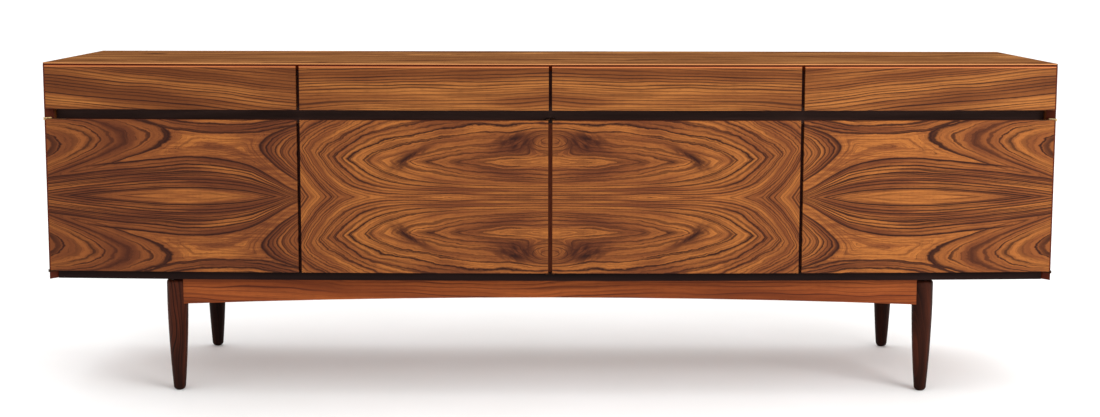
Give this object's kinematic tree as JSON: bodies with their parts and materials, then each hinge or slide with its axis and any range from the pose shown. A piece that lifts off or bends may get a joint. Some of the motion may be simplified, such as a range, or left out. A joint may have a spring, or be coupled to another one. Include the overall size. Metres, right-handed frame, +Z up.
{
  "type": "sideboard buffet",
  "caption": "Long bow-fronted rosewood sideboard: drawers over pivot-hung cupboard doors with a finger gap between, on turned legs with an arched rail.",
  "frame": {"origin": "on the floor, under the centre of the sideboard's bounding box", "axes": "+X along the length to the viewer's right, +Y from the front to the back, +Z up"},
  "size_m": [2.405, 0.53, 0.8],
  "materials": {
    "door_veneer": "bookmatched rosewood veneer, satin lacquer",
    "drawer_front_veneer": "straight-grained rosewood veneer, satin lacquer",
    "top_veneer": "rosewood veneer, satin lacquer, slightly faded",
    "case_veneer": "rosewood veneer, satin lacquer",
    "dark_edge_wood": "dark stained edge strip, satin",
    "black_stained_wood": "black-brown stained, matt",
    "rail_wood": "solid rosewood, satin lacquer",
    "leg_wood": "turned solid rosewood, satin lacquer",
    "inner_wood": "mahogany-type lining veneer, open pored",
    "drawer_box_wood": "solid oak, waxed",
    "drawer_bottom_wood": "thin plywood, sealed",
    "runner_wood": "beech, waxed",
    "back_wood": "stained plywood, unpolished",
    "hinge_brass": "brass, lightly tarnished",
    "catch_plastic": "brown moulded magnet housing",
    "steel_screws": "zinc-plated screw heads"
  },
  "bodies": {
    "case": {"top_panel": "top_veneer", "side_panel_left": "case_veneer", "side_panel_right": "case_veneer", "bottom_panel": "case_veneer", "back_panel": "back_wood", "plinth_strip": "dark_edge_wood", "recess_rail": "black_stained_wood", "drawer_deck": "inner_wood", "drawer_dividers": "inner_wood", "drawer_runners": "runner_wood", "partition_left": "inner_wood", "partition_centre": "inner_wood", "partition_right": "inner_wood", "shelf_1": "inner_wood", "shelf_2": "inner_wood", "shelf_3": "inner_wood", "shelf_4": "inner_wood", "shelf_pins": "hinge_brass", "hinge_case_leaves": "hinge_brass", "door_catches": "catch_plastic", "case_dowels": "runner_wood", "back_screws": "steel_screws", "base_screws": "steel_screws", "base_rail_front": "rail_wood", "base_rail_rear": "rail_wood", "base_side_rails": "rail_wood", "base_corner_blocks": "runner_wood", "leg_front_left": "leg_wood", "leg_front_right": "leg_wood", "leg_rear_left": "leg_wood", "leg_rear_right": "leg_wood"},
    "drawer_1": {"drawer_1_front": "drawer_front_veneer", "drawer_1_side_left": "drawer_box_wood", "drawer_1_side_right": "drawer_box_wood", "drawer_1_back": "drawer_box_wood", "drawer_1_bottom": "drawer_bottom_wood"},
    "drawer_2": {"drawer_2_front": "drawer_front_veneer", "drawer_2_side_left": "drawer_box_wood", "drawer_2_side_right": "drawer_box_wood", "drawer_2_back": "drawer_box_wood", "drawer_2_bottom": "drawer_bottom_wood"},
    "drawer_3": {"drawer_3_front": "drawer_front_veneer", "drawer_3_side_left": "drawer_box_wood", "drawer_3_side_right": "drawer_box_wood", "drawer_3_back": "drawer_box_wood", "drawer_3_bottom": "drawer_bottom_wood"},
    "drawer_4": {"drawer_4_front": "drawer_front_veneer", "drawer_4_side_left": "drawer_box_wood", "drawer_4_side_right": "drawer_box_wood", "drawer_4_back": "drawer_box_wood", "drawer_4_bottom": "drawer_bottom_wood"},
    "door_1": {"door_1_panel": "door_veneer", "door_1_fittings": "hinge_brass"},
    "door_2": {"door_2_panel": "door_veneer", "door_2_fittings": "hinge_brass"},
    "door_3": {"door_3_panel": "door_veneer", "door_3_fittings": "hinge_brass"},
    "door_4": {"door_4_panel": "door_veneer", "door_4_fittings": "hinge_brass"}
  },
  "joints": [
    {"name": "drawer_1_slide", "type": "slide", "parent": "case", "child": "drawer_1", "axis": [0, -1, 0], "range_m": [0, 0.32]},
    {"name": "drawer_2_slide", "type": "slide", "parent": "case", "child": "drawer_2", "axis": [0, -1, 0], "range_m": [0, 0.32]},
    {"name": "drawer_3_slide", "type": "slide", "parent": "case", "child": "drawer_3", "axis": [0, -1, 0], "range_m": [0, 0.32]},
    {"name": "drawer_4_slide", "type": "slide", "parent": "case", "child": "drawer_4", "axis": [0, -1, 0], "range_m": [0, 0.32]},
    {"name": "door_1_hinge", "type": "hinge", "parent": "case", "child": "door_1", "pos_m": [-1.2, -0.235, 0.4835], "axis": [0, 0, -1], "range_deg": [0, 100]},
    {"name": "door_2_hinge", "type": "hinge", "parent": "case", "child": "door_2", "pos_m": [-0.0082, -0.2618, 0.4835], "axis": [0, 0, 1], "range_deg": [0, 90]},
    {"name": "door_3_hinge", "type": "hinge", "parent": "case", "child": "door_3", "pos_m": [0.0082, -0.2618, 0.4835], "axis": [0, 0, -1], "range_deg": [0, 90]},
    {"name": "door_4_hinge", "type": "hinge", "parent": "case", "child": "door_4", "pos_m": [1.2, -0.235, 0.4835], "axis": [0, 0, 1], "range_deg": [0, 100]}
  ]
}
